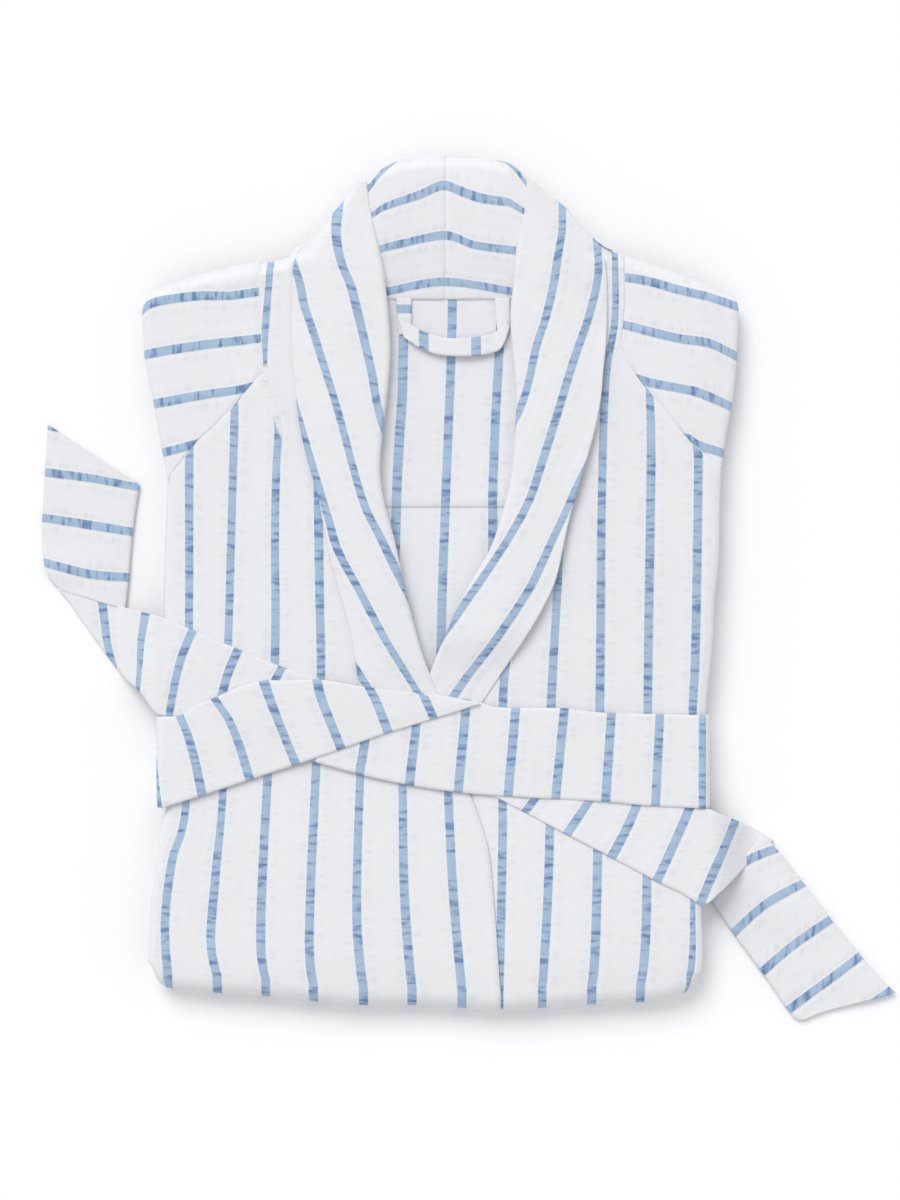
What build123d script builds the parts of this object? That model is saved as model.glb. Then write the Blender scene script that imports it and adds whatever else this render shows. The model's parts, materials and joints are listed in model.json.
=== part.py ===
from build123d import *
import os

# A striped seersucker bathrobe with a shawl collar, folded as it is laid out on a bed or a shelf.
# The sides and sleeves are folded behind, the skirt is folded under, and the belt is half-knotted.
# Frame: millimetres, +Z up, +Y towards the collar, +X towards the wearer's left.
# The origin is on the table under the middle of the folded body.
# Heights are built up ply by ply from the table.

RIGHT, LEFT = -1, 1                 # the wearer's own right (-X) and left (+X)
SIDES = {"right": RIGHT, "left": LEFT}

# Cloth
ply = 1.3                           # one ply of puckered cloth as it lies
loop_ply = 0.8                      # the narrow belt loops
gap = 0.3                           # air between plies
joint_gap = 1.0                     # room each side of a fold that moves

# Folded body
folded_length = 596.0               # top of the collar to the bottom fold
folded_width = 378.0                # side fold to side fold at the belt
underarm_out = {RIGHT: -3.5, LEFT: 14.0}     # how far each side stands out from half the width
waist_out = {RIGHT: -0.5, LEFT: 1.5}
skirt_out = {RIGHT: 10.0, LEFT: -2.0}
sleeve_out = {RIGHT: 14.0, LEFT: 25.0}
flap_width = 110.0                  # what is folded behind at each side
hem_drop = 102.0                    # the hem lies this far below the top of the collar

# Neck and shoulders, measured down from the top of the collar
stand_height = 97.0                 # top of the collar to the back neck seam
neck_drop = 58.0                    # the shoulder seam's neck end
neck_out = {RIGHT: 65.0, LEFT: 80.0}
armhole_top_drop = {RIGHT: 76.0, LEFT: 70.0}
armhole_bend_drop = 152.0
armhole_out = {RIGHT: 122.0, LEFT: 134.0}
sleeve_drop = 97.0                  # the outer corner of the sleeve
underarm_drop = 222.0
neck_centre_x = 9.0                 # the neck sits a little towards the wearer's left
facing_depth = 148.0                # back neck facing, from the neck seam down

# Sleeve folded down behind the body
sleeve_fold_width = 142.0
sleeve_hidden_length = 285.0
sleeve_lap = 2.0                    # how far the sleeve's fold stands clear of the body's side fold

# Collar, as x outwards and share of the way from the neck seam down to the point of the V
roll_shape = {RIGHT: ((19, 0.79), (41, 0.44), (33, 0.11), (36, 0.0)),
              LEFT: ((26, 0.77), (58, 0.46), (63, 0.26), (60, 0.0))}
leaf_shape = {RIGHT: ((97, -0.08), (98, 0.11), (84, 0.44), (61, 0.79), (51, 0.965)),
              LEFT: ((119, -0.11), (121, 0.01), (109, 0.4), (81, 0.75), (35, 1.0))}
collar_top_half = {RIGHT: 17.0, LEFT: 38.0}
collar_shoulder = {RIGHT: (65.0, 33.0), LEFT: (82.0, 26.0)}    # x outwards, drop from the top
crease_top = {RIGHT: (45.0, 22.0), LEFT: (66.0, 18.0)}
fall_depth = 70.0                   # the part of the collar turned down behind the neck

# Front wrap
v_above_belt = 19.0                 # point of the V above the belt's nominal upper edge
wrap_x = (26.0, 52.0)               # front edge at the belt's lower edge and at the bottom fold
underlap = 110.0                    # how far the under front goes on beneath the wrap
step_width = 5.0                    # where the under front steps down beneath the wrap

# Belt
belt_width = 63.0
belt_above_fold = 173.0             # belt's middle above the bottom fold
belt_stand = 2.0                    # room between the belt and the side folds
belt_rise = 24.0                    # how far the right half rises to the crossing
crossing_x = (5.0, 33.0)            # where the right half turns over the left half's top edge
rise_x = (-100.0, -23.0)            # the right half is highest at the first of these
lower_meet = (-84.0, 1.0)           # where the halves' lower edges meet, from the middle of the belt
# moving fold of each tail, as x and height above the middle of the belt, clear of the belt's edge
tail_hinge = {RIGHT: ((-190.0, 41.5), (-78.0, 66.0)), LEFT: ((40.0, -34.5), (190.0, -38.0))}
# a place on each long edge of a tail, upper edge first, measured the same way
tail_bow = {RIGHT: ((-152.0, 85.0), (-219.0, 61.0)), LEFT: ((215.0, -43.0), (117.0, -62.0))}
# far fold of each tail, outer end first, as x out from the belt's side and height above its middle
far_fold = {RIGHT: ((65.0, 113.0), (25.0, 107.5)), LEFT: ((42.0, -53.0), (5.0, -98.0))}
tail_drape = 5.0                    # bend radius where a tail goes over the side
end_clear = {RIGHT: (0.0, 2.0), LEFT: (3.0, 0.0)}      # from the far fold to where the end starts
end_length = {RIGHT: 128.0, LEFT: 141.0}
# corners of each end, from the fold's outer end, in shares of the end's length
end_shape = {RIGHT: ((0.391, 0.656), (-0.031, 1.0), (-0.102, 1.0), (-0.141, 0.219)),
             LEFT: ((0.174, -0.889), (0.661, -0.751))}

# Loops
strip_width = 10.0                  # hanger strip
hanger_x = (-25.0, 56.0)            # outer edges of the hanger's two legs
hanger_drop = 42.0                  # neck seam to the bottom of the hanging strip
belt_loop_width = 10.0
belt_loop_room = 2.0

# Stack of plies, from the table up
half_stack = 5 * ply + 4 * gap      # front, under front, back, back flap, front flap
sleeve_thick = 2 * ply + gap        # a flattened sleeve is two plies
loop_z = half_stack + gap
run_z = loop_z + loop_ply + gap
sleeve_z = run_z + ply + gap
upper_z = sleeve_z + sleeve_thick + gap
pack_top = upper_z + half_stack
tuck_z = pack_top + gap
left_belt_z = tuck_z + ply + gap
right_belt_z = left_belt_z + ply + gap
belt_top = right_belt_z + ply

half_width = folded_width / 2
top_y = folded_length / 2
fold_y = -folded_length / 2
neck_y = top_y - stand_height
hem_y = top_y - hem_drop
underarm_y = top_y - underarm_drop
belt_y = fold_y + belt_above_fold
belt_upper_y = belt_y + belt_width / 2
belt_lower_y = belt_y - belt_width / 2
turn_y = belt_upper_y + 3 * gap     # where the right half turns over the left half's top edge
v_y = belt_upper_y + v_above_belt
fold_radius = pack_top / 2
side_radius = half_stack / 2
flat_y = fold_y + fold_radius       # where the flat plies end and the bottom fold begins


# ---- helpers ----

def area(*curves):
    """Flat outline closed by the given curves, in order."""
    return make_face([edge for curve in curves for edge in curve.edges()])


def plate(outline, z, thickness=ply):
    return extrude(Pos(0, 0, z) * outline, thickness)


def side_x(side, out):
    return side * (half_width + out[side])


def down_collar(side, shape):
    """Places (x outwards, share) between the neck seam and the point of the V."""
    return [(side * x, neck_y - share * (neck_y - v_y)) for x, share in shape]


def half_ring(radius, thickness=ply):
    """Half of a ring, bulging towards +X, in its own plane."""
    ring = Circle(radius) - Circle(radius - thickness)
    return ring & Pos(radius / 2, 0) * Rectangle(radius, 2 * radius)


def side_bend(side, start, end, z_low, z_high, thickness=ply):
    """A ply's fold along one side of the pack, from start to end, outermost at those places."""
    radius = (z_high - z_low) / 2
    section = half_ring(radius, thickness)
    if side == RIGHT:
        section = Rot(0, 0, 180) * section
    centre = (start[0] - side * radius, start[1], (z_low + z_high) / 2)
    run = Vector(end[0] - start[0], end[1] - start[1], 0)
    place = Plane(origin=centre, x_dir=(1, 0, 0), z_dir=(0, -1, 0))
    return extrude(place * section, run.length, dir=run)


def bottom_bend(x_from, x_to, z_low, z_high, thickness=ply):
    """A ply's fold along the bottom edge of the pack."""
    radius = (z_high - z_low) / 2
    section = Rot(0, 0, 180) * half_ring(radius, thickness)
    place = Plane(origin=(x_from, flat_y, (z_low + z_high) / 2), x_dir=(0, 1, 0), z_dir=(1, 0, 0))
    return extrude(place * section, x_to - x_from)


def side_points(side, inset, start_y, end_y):
    """The side of the folded body from the underarm to the bottom fold."""
    return [(side_x(side, underarm_out) - side * inset, start_y),
            (side_x(side, waist_out) - side * inset, belt_y),
            (side_x(side, skirt_out) - side * inset, end_y)]


# ---- outlines that pieces share ----

def armhole(side):
    """Armhole seam, from the shoulder down to the underarm."""
    top = (side * armhole_out[side], top_y - armhole_top_drop[side])
    bend = (side * armhole_out[side], top_y - armhole_bend_drop)
    underarm = (side_x(side, underarm_out) - side * side_radius, underarm_y)
    return Spline(top, bend, underarm)


def roll_line(side):
    """Inner edge of the collar, where it turns over, from the V up to the neck seam."""
    return Spline((0, v_y), *down_collar(side, roll_shape[side]))


def wrap_edge(clear=0.0):
    """Front edge of the right front, from the bottom fold up to the V."""
    return Spline((wrap_x[1] + clear, flat_y), (wrap_x[0] + clear, belt_lower_y), (0, v_y))


def front_outline(side, edge):
    """Upper ply of a front, from shoulder to bottom fold."""
    neck = (side * neck_out[side], top_y - neck_drop)
    seam = armhole(side)
    sides = side_points(side, side_radius, underarm_y, flat_y)
    roll = roll_line(side)
    return area(Line(neck, seam @ 0), seam, Polyline(sides), Line(sides[-1], edge @ 0),
                edge, roll, Line(roll @ 1, neck))


def flap_outline(side, inset, top, bottom):
    """The part of the body folded behind one side, from the fold in to the side seam."""
    outer = side_points(side, inset, top, bottom)
    seam_x = side * (half_width - flap_width)
    return area(Polyline(outer), Polyline(outer[-1], (seam_x, bottom), (seam_x, top), outer[0]))


def lower_outline(side, inner_low, inner_high):
    """Skirt folded under: from the bottom fold to the hem."""
    outer_low = (side_x(side, skirt_out) - side * side_radius, flat_y)
    outer_high = (side_x(side, waist_out) - side * side_radius, hem_y)
    return area(Polyline(outer_low, outer_high, inner_high, inner_low, outer_low))


# ---- body ----

def front_folds(side, x_inner, top_flap_y):
    """Side folds, flaps and bottom fold of the outermost ply of one front."""
    skirt = (side_x(side, skirt_out), flat_y)
    waist = (side_x(side, waist_out), belt_y)
    x_outer = skirt[0] - side * side_radius
    folds = side_bend(side, (side_x(side, underarm_out), top_flap_y), waist, upper_z, pack_top)
    folds += side_bend(side, waist, skirt, upper_z, pack_top)
    folds += side_bend(side, (waist[0], hem_y), skirt, 0, half_stack)
    folds += plate(flap_outline(side, side_radius, top_flap_y, flat_y), upper_z)
    lower_flap = area(Polyline((x_outer, flat_y), (waist[0] - side * side_radius, hem_y),
                               (side * (half_width - flap_width), hem_y),
                               (side * (half_width - flap_width), flat_y), (x_outer, flat_y)))
    folds += plate(lower_flap, half_stack - ply)
    return folds + bottom_bend(min(x_inner, x_outer), max(x_inner, x_outer), 0, pack_top)


def right_front():
    """Front that wraps over the other, folded behind at the side and under at the skirt."""
    body = plate(front_outline(RIGHT, wrap_edge()), pack_top - ply)
    body += plate(lower_outline(RIGHT, (wrap_x[1], flat_y), (wrap_x[1], hem_y)), 0)
    return body + front_folds(RIGHT, wrap_x[1], underarm_y)


def left_front():
    """Front that goes on beneath the other: it steps down one ply under the wrap."""
    clear = 2 * gap
    inner_z = pack_top - 2 * ply - gap
    edge = wrap_edge(clear)
    body = plate(front_outline(LEFT, edge), pack_top - ply)
    low_x = wrap_x[1] + clear
    body += plate(lower_outline(LEFT, (low_x, flat_y), (low_x, hem_y)), 0)
    body += front_folds(LEFT, low_x, underarm_y)
    step_x = wrap_x[0] + clear + step_width
    step = area(edge, Polyline(edge @ 1, (step_width, v_y), (step_x, belt_lower_y),
                               (low_x + step_width, flat_y), edge @ 0))
    body += plate(step, inner_z, 2 * ply + gap)
    far_x = wrap_x[0] - underlap
    under = area(Polyline((far_x, v_y), (step_width, v_y), (wrap_x[0] + step_width, belt_lower_y),
                          (low_x + step_width, flat_y), (far_x, flat_y), (far_x, v_y)))
    body += plate(under, inner_z)
    middle_y = (flat_y + hem_y) / 2
    length = hem_y - flat_y
    lower = Pos((far_x + low_x) / 2, middle_y) * Rectangle(low_x - far_x, length)
    body += plate(lower, ply + gap)
    lower_step = Pos(low_x + step_width / 2, middle_y) * Rectangle(step_width, length)
    body += plate(lower_step, 0, 2 * ply + gap)
    return body + bottom_bend(far_x, low_x + step_width, ply + gap, pack_top - ply - gap)


def back_panel():
    """Back, innermost ply of both halves, with its own flaps inside the fronts' flaps."""
    level = 2 * (ply + gap)
    radius = (half_stack - ply - gap - level) / 2
    inset = side_radius
    seams = {side: armhole(side) for side in (RIGHT, LEFT)}
    necks = {side: (side * neck_out[side], top_y - neck_drop) for side in (RIGHT, LEFT)}
    hollow = Spline(necks[RIGHT], (neck_centre_x, neck_y), necks[LEFT])
    sides = {side: side_points(side, inset, underarm_y, flat_y) for side in (RIGHT, LEFT)}
    upper = area(hollow, Line(necks[LEFT], seams[LEFT] @ 0), seams[LEFT], Polyline(sides[LEFT]),
                 Line(sides[LEFT][-1], sides[RIGHT][-1]), Polyline(sides[RIGHT]), seams[RIGHT],
                 Line(seams[RIGHT] @ 0, necks[RIGHT]))
    body = plate(upper, pack_top - level - ply)
    for side in (RIGHT, LEFT):
        body += plate(lower_outline(side, (0, flat_y), (0, hem_y)), level)
        start = (sides[side][0][0] + side * radius, underarm_y)
        waist = (sides[side][1][0] + side * radius, belt_y)
        skirt = (sides[side][2][0] + side * radius, flat_y)
        z_top = pack_top - level
        body += side_bend(side, start, waist, z_top - 2 * radius, z_top)
        body += side_bend(side, waist, skirt, z_top - 2 * radius, z_top)
        body += side_bend(side, (waist[0], hem_y), skirt, level, level + 2 * radius)
        body += plate(flap_outline(side, inset, underarm_y, flat_y), z_top - 2 * radius)
        fold_low = (sides[side][2][0], flat_y)
        seam_x = side * (half_width - flap_width)
        lower_flap = area(Polyline(fold_low, (sides[side][1][0], hem_y), (seam_x, hem_y),
                                   (seam_x, flat_y), fold_low))
        body += plate(lower_flap, level + 2 * radius - ply)
    return body + bottom_bend(sides[RIGHT][-1][0], sides[LEFT][-1][0], level, pack_top - level)


def back_neck_facing():
    """Facing inside the back neck, topstitched along its straight lower edge."""
    width = neck_out[RIGHT] + neck_out[LEFT]
    middle_x = (neck_out[LEFT] - neck_out[RIGHT]) / 2
    outline = Pos(middle_x, neck_y - facing_depth / 2) * Rectangle(width, facing_depth)
    return plate(outline, pack_top - 2 * ply - gap)


def sleeve(side):
    """Flattened sleeve: a stretch beside the shoulder, a fold, and the rest turned down behind."""
    radius = (pack_top - sleeve_z) / 2
    seam = armhole(side)
    corner = (side_x(side, sleeve_out), top_y - sleeve_drop)
    foot = (side_x(side, underarm_out) + side * sleeve_lap, underarm_y + sleeve_lap)
    fold = Polyline((corner[0] - side * radius, corner[1]), (foot[0] - side * radius, foot[1]))
    upper = area(seam, Line(seam @ 1, fold @ 1), fold, Line(fold @ 0, seam @ 0))
    inner_x = corner[0] - side * sleeve_fold_width
    end_y = corner[1] - sleeve_hidden_length
    lower = area(Polyline(fold @ 0, fold @ 1, (fold @ 1 - Vector(0, foot[1] - end_y)), (inner_x, end_y),
                          (inner_x, corner[1]), fold @ 0))
    body = plate(upper, pack_top - sleeve_thick, sleeve_thick)
    body += plate(lower, sleeve_z, sleeve_thick)
    return body + side_bend(side, corner, foot, sleeve_z, pack_top, sleeve_thick)


# ---- collar ----

def leaf_outline(side):
    """The part of the collar turned over onto the front."""
    outer = down_collar(side, leaf_shape[side])
    shoulder = (side * collar_shoulder[side][0], top_y - collar_shoulder[side][1])
    crease = (side * crease_top[side][0], top_y - crease_top[side][1])
    tip = (side * collar_top_half[side], top_y)
    roll = roll_line(side)
    return area(Spline(tip, shoulder, outer[0]), Spline(*outer), Line(outer[-1], (0, v_y)), roll,
                Line(roll @ 1, crease), Line(crease, tip))


def stand_outline(side):
    """The part of the collar that stands inside the back neck, out to the centre back seam."""
    crease = (side * crease_top[side][0], top_y - crease_top[side][1])
    neck = (side * roll_shape[side][-1][0], neck_y)
    return area(Polyline((neck_centre_x, top_y), (side * collar_top_half[side], top_y), crease, neck,
                         (neck_centre_x, neck_y), (neck_centre_x, top_y)))


def upper_collar(side):
    """Upper collar: turned-over leaf, stand at the back neck, and the fall behind it."""
    stand_z = pack_top - 2 * ply - gap
    leaf_z = pack_top + 2 * gap + ply
    fall_z = stand_z - 4 * ply
    crease = (side * crease_top[side][0], top_y - crease_top[side][1])
    neck = (side * roll_shape[side][-1][0], neck_y)
    tip = (side * collar_top_half[side], top_y)
    wall = area(Polyline(neck, crease, tip, (tip[0] - side * ply, tip[1] - ply),
                         (crease[0] - side * ply, crease[1] - ply),
                         (neck[0] - side * ply, neck[1]), neck))
    body = plate(leaf_outline(side), leaf_z) + plate(stand_outline(side), stand_z)
    body += plate(wall, stand_z, leaf_z - stand_z + ply)
    radius = (stand_z + ply - fall_z) / 2
    middle = (neck_centre_x + tip[0]) / 2
    start = (min(neck_centre_x, tip[0]), top_y, fall_z + radius)
    place = Plane(origin=start, x_dir=(0, 1, 0), z_dir=(1, 0, 0))
    bend = extrude(place * half_ring(radius), 2 * abs(tip[0] - middle))
    shoulder = (side * collar_shoulder[side][0], top_y - collar_shoulder[side][1])
    low_y = top_y - fall_depth
    fall = area(Polyline((neck_centre_x, top_y), tip, shoulder, (side * neck_out[side], low_y),
                         (neck_centre_x, low_y), (neck_centre_x, top_y)))
    return body + bend + plate(fall, fall_z)


def under_collar(side):
    """Under collar: lies beneath the turned-over leaf, seamed to it all round."""
    return plate(leaf_outline(side), pack_top + gap)


def hanger_loop():
    """Narrow strip sewn into the neck seam at both ends, lying flat on the facing."""
    x_low, x_high = hanger_x
    seam_y = neck_y - joint_gap
    low_y = neck_y - hanger_drop
    middle = (x_low + x_high) / 2
    sag = strip_width / 4
    outer = ThreePointArc((x_low, low_y + sag), (middle, low_y), (x_high, low_y + sag))
    inner_y = low_y + strip_width
    inner = ThreePointArc((x_low + strip_width, inner_y + sag), (middle, inner_y),
                          (x_high - strip_width, inner_y + sag))
    strip = area(Line((x_low, seam_y), outer @ 0), outer, Line(outer @ 1, (x_high, seam_y)),
                 Polyline((x_high, seam_y), (x_high - strip_width, seam_y), inner @ 1), inner,
                 Polyline(inner @ 0, (x_low + strip_width, seam_y), (x_low, seam_y)))
    return plate(strip, pack_top - ply)


# ---- belt ----

def from_belt(x, rise):
    """A place given by its height above the middle of the belt."""
    return (x, belt_y + rise)


def hinge_points(side, shift):
    """A tail's moving fold, shifted away from the belt by the given distance."""
    low, high = (Vector(*from_belt(*place)) for place in tail_hinge[side])
    across = (high - low).normalized().rotate(Axis.Z, 90) * (-side * shift)
    return [low + across, high + across]


def belt_side(side):
    """Outermost x of the belt round the side folds, clear of them at both its edges."""
    rise = (belt_width / 2) / (underarm_y - belt_y)
    drop = (belt_width / 2) / (belt_y - flat_y)
    at_upper = waist_out[side] + rise * (underarm_out[side] - waist_out[side])
    at_lower = waist_out[side] + drop * (skirt_out[side] - waist_out[side])
    widest = max(waist_out[side], at_upper, at_lower)
    return side * (half_width + widest + belt_stand + ply)


def belt_back_run():
    """Hidden stretch between the two halves of the folded robe."""
    low_x = belt_side(RIGHT) + (belt_top - run_z) / 2
    high_x = belt_side(LEFT) - (left_belt_z + ply - run_z) / 2
    return plate(Pos((low_x + high_x) / 2, belt_y) * Rectangle(high_x - low_x, belt_width), run_z)


def belt_right_wrap():
    """Right half: round the side, up across the front, and over the left half's top edge."""
    radius = (belt_top - run_z) / 2
    x_side = belt_side(RIGHT)
    start = x_side - RIGHT * radius
    high_places = [(x, belt_upper_y + rise)
                   for x, rise in zip(rise_x, (belt_rise, 0.7 * belt_rise))]
    low_place = (lower_meet[0], belt_y + lower_meet[1] + ply)
    upper = Spline((start, belt_upper_y), *high_places, (crossing_x[0], turn_y + ply))
    lower = Spline((start, belt_lower_y), low_place, (crossing_x[0], turn_y - 3 * ply))
    turn = Polyline(upper @ 1, (crossing_x[0], turn_y), (crossing_x[1], turn_y),
                    (crossing_x[1], turn_y - 2 * ply), lower @ 1)
    front = area(upper, turn, lower, Line(lower @ 0, upper @ 0))
    body = plate(front, right_belt_z)
    body += side_bend(RIGHT, (x_side, belt_upper_y), (x_side, belt_lower_y), run_z, belt_top)
    bend_radius = (belt_top - tuck_z) / 2
    middle = (crossing_x[0], turn_y, tuck_z + bend_radius)
    place = Plane(origin=middle, x_dir=(0, 1, 0), z_dir=(1, 0, 0))
    return body + extrude(place * half_ring(bend_radius), crossing_x[1] - crossing_x[0])


def belt_tuck():
    """The right half again, behind the left half, fanning out to the left tail."""
    low, high = hinge_points(LEFT, -joint_gap)
    return plate(area(Polyline((crossing_x[0], turn_y), (crossing_x[1], turn_y), high, low,
                               (crossing_x[0], turn_y))), tuck_z)


def belt_left_wrap():
    """Left half: round the side, across the front beneath the right half, out to the right tail."""
    level_top = left_belt_z + ply
    radius = (level_top - run_z) / 2
    x_side = belt_side(LEFT)
    start = x_side - LEFT * radius
    low, high = hinge_points(RIGHT, -joint_gap)
    front = area(Polyline((start, belt_upper_y), (crossing_x[0], belt_upper_y), high, low,
                          from_belt(*lower_meet), (crossing_x[0], belt_lower_y),
                          (start, belt_lower_y), (start, belt_upper_y)))
    body = plate(front, left_belt_z)
    return body + side_bend(LEFT, (x_side, belt_upper_y), (x_side, belt_lower_y), run_z, level_top)


def tail_sheet(side, level, inner_x, outer_x):
    """Cloth that lies over the body, drops over its side and lies on the table."""
    drop_x = belt_side(side)
    path = FilletPolyline((inner_x, level + ply / 2), (drop_x, level + ply / 2),
                          (drop_x + side * (tail_drape - 1), ply / 2), (outer_x, ply / 2), radius=tail_drape)
    section = Plane.XZ.offset(-top_y) * trace(path, ply)
    return extrude(section, folded_length)


def far_fold_points(side, shift=(0.0, 0.0)):
    """Ends of the fold between a tail and its end on the table, outer first."""
    return [Vector(belt_side(side) + side * out + shift[0], belt_y + rise + shift[1])
            for out, rise in far_fold[side]]


def tail(side, level):
    """Tail from its moving fold at the belt, over the side of the robe, to its far fold."""
    low, high = hinge_points(side, joint_gap)
    outer, inner = far_fold_points(side)
    upper, lower = (inner, outer) if side == RIGHT else (outer, inner)
    above, below = (from_belt(*place) for place in tail_bow[side])
    outline = area(Spline(high, above, upper), Line(upper, lower),
                   Spline(lower, below, low), Line(low, high))
    inner_x = side * (min(side * low.X, side * high.X) - ply)
    outer_x = outer.X + side * belt_width
    return tail_sheet(side, level, inner_x, outer_x) & extrude(outline, belt_top)


def tail_end(side):
    """End of a tail beyond its far fold, flat on the table, with a slanted cut."""
    outer, inner = far_fold_points(side, end_clear[side])
    corners = [outer + Vector(x, y) * end_length[side] for x, y in end_shape[side]]
    return plate(area(Polyline(outer, inner, *corners, outer)), 0)


def belt_loop(side):
    """Narrow loop on the side seam, round the hidden stretch of the belt."""
    x = side * (half_width - flap_width + belt_loop_width)
    room = belt_width + 2 * belt_loop_room
    outer = Pos(x, belt_y) * Rectangle(belt_loop_width, room + 2 * loop_ply)
    inner = Pos(x, belt_y) * Rectangle(belt_loop_width, room)
    legs = extrude(Pos(0, 0, loop_z) * (outer - inner), upper_z - loop_z)
    return legs + plate(outer, loop_z, loop_ply)


parts = {
    "right_front": right_front(),
    "left_front": left_front(),
    "back_panel": back_panel(),
    "back_neck_facing": back_neck_facing(),
    "hanger_loop": hanger_loop(),
    "belt_back_run": belt_back_run(),
    "belt_right_wrap": belt_right_wrap(),
    "belt_left_wrap": belt_left_wrap(),
    "belt_tuck": belt_tuck(),
    "belt_right_tail": tail(RIGHT, left_belt_z),
    "belt_left_tail": tail(LEFT, tuck_z),
}
for name, side in SIDES.items():
    parts[name + "_sleeve"] = sleeve(side)
    parts[name + "_upper_collar"] = upper_collar(side)
    parts[name + "_under_collar"] = under_collar(side)
    parts[name + "_belt_loop"] = belt_loop(side)
    parts["belt_" + name + "_tail_end"] = tail_end(side)

os.makedirs("parts", exist_ok=True)
for name, solid in parts.items():
    export_step(solid, "parts/" + name + ".step")
print("pack top", round(pack_top, 2), "belt top", round(belt_top, 2))
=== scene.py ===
import json

import bmesh
import bpy
import numpy as np
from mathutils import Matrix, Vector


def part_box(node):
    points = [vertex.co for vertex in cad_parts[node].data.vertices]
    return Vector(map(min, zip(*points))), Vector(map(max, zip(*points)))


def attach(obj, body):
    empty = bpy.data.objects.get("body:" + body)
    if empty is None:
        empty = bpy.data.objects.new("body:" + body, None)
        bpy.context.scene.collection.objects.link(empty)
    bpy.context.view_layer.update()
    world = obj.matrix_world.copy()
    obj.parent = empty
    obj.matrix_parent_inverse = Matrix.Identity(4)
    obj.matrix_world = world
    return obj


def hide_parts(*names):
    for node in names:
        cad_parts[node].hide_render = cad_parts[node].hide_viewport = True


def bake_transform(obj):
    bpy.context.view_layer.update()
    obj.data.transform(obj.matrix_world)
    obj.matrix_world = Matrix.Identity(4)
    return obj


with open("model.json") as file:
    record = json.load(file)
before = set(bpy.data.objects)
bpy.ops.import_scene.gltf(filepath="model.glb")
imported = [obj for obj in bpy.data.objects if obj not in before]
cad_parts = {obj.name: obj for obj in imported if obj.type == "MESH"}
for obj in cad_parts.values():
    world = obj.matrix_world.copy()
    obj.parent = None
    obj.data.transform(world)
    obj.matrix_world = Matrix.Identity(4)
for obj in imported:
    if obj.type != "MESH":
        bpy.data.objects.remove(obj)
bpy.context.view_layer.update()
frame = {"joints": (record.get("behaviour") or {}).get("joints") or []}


# ---- View ----
# The folded robe lies on a white table and is seen from straight above, filling most of the view.
# A long lens high over it keeps the sides of the fold out of sight.

mm = 0.001
pack_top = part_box("right_sleeve")[1].z
view_middle = (12.3 * mm, -11.9 * mm)
view_length = 840 * mm
camera_rise = 2.4

camera_data = bpy.data.cameras.new("camera")
camera_data.sensor_width = 36
camera_data.lens = camera_data.sensor_width * camera_rise / view_length
camera = bpy.data.objects.new("camera", camera_data)
camera.location = (*view_middle, camera_rise + pack_top)
bpy.context.scene.collection.objects.link(camera)
bpy.context.scene.camera = camera
bpy.context.scene.view_settings.view_transform = "Standard"


# ---- Cloth ----
# The robe is cut from one puckered cotton, white with narrow blue stripes about 33 mm apart.
# Every ply below is a grid of places, with the stripe count across it and the length along the stripe.

pitch = 33                           # millimetres from one stripe to the next
cloth_thick = 1.0 * mm
pucker_height = 0.40 * mm
pucker_length = 5.5 * mm
stripe_half = 0.093                  # half a stripe's width, in stripe pitches
stripe_soft = 0.008                  # how far its edge is blurred to each side
top_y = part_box("right_under_collar")[1].y


def ease(share):
    """A smooth step from 0 to 1."""
    share = np.clip(share, 0, 1)
    return share * share * (3 - 2 * share)


def uneven(across, along, kind=0):
    """Smooth unevenness from -1 to 1, with lumps one unit wide."""
    left, start = np.floor(across), np.floor(along)
    right_share, end_share = ease(across - left), ease(along - start)

    def corner(a, b):
        mixed = np.sin(a * 12.9898 + b * 78.233 + kind * 37.719) * 43758.5453
        return 2 * (mixed - np.floor(mixed)) - 1

    near = corner(left, start) * (1 - right_share) + corner(left + 1, start) * right_share
    far = corner(left, start + 1) * (1 - right_share) + corner(left + 1, start + 1) * right_share
    return near * (1 - end_share) + far * end_share


def through(places, count):
    """Evenly spaced places on a smooth line through the given ones."""
    given = np.array(places, float)
    ends = np.vstack([2 * given[0] - given[1], given, 2 * given[-1] - given[-2]])
    t = np.linspace(0, 1, 12, endpoint=False)[:, None]
    parts = []
    for a, b, c, d in zip(ends, ends[1:], ends[2:], ends[3:]):
        square = (2 * a - 5 * b + 4 * c - d) * t**2
        parts.append(0.5 * (2 * b + (c - a) * t + square + (3 * b - a - 3 * c + d) * t**3))
    fine = np.vstack(parts + [given[-1:]])
    run = np.concatenate([[0], np.cumsum(np.linalg.norm(np.diff(fine, axis=0), axis=1))])
    at = np.linspace(0, run[-1], count)
    return np.column_stack([np.interp(at, run, fine[:, k]) for k in range(fine.shape[1])])


def placed(x, drop, z):
    """Places in metres, from x, the drop below the top of the collar and the height in millimetres."""
    return np.stack([x * mm, top_y - drop * mm, z * mm], -1)


def swapped(places):
    """Places (x, drop) as (drop, x), for lines that run across."""
    return [(b, a) for a, b in places]


def edge_at(places, drop):
    """How far across an edge lies at each drop, from its places in millimetres."""
    fine = through(places, 200)
    order = np.argsort(fine[:, 1])
    return np.interp(drop, fine[order, 1], fine[order, 0])


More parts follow.
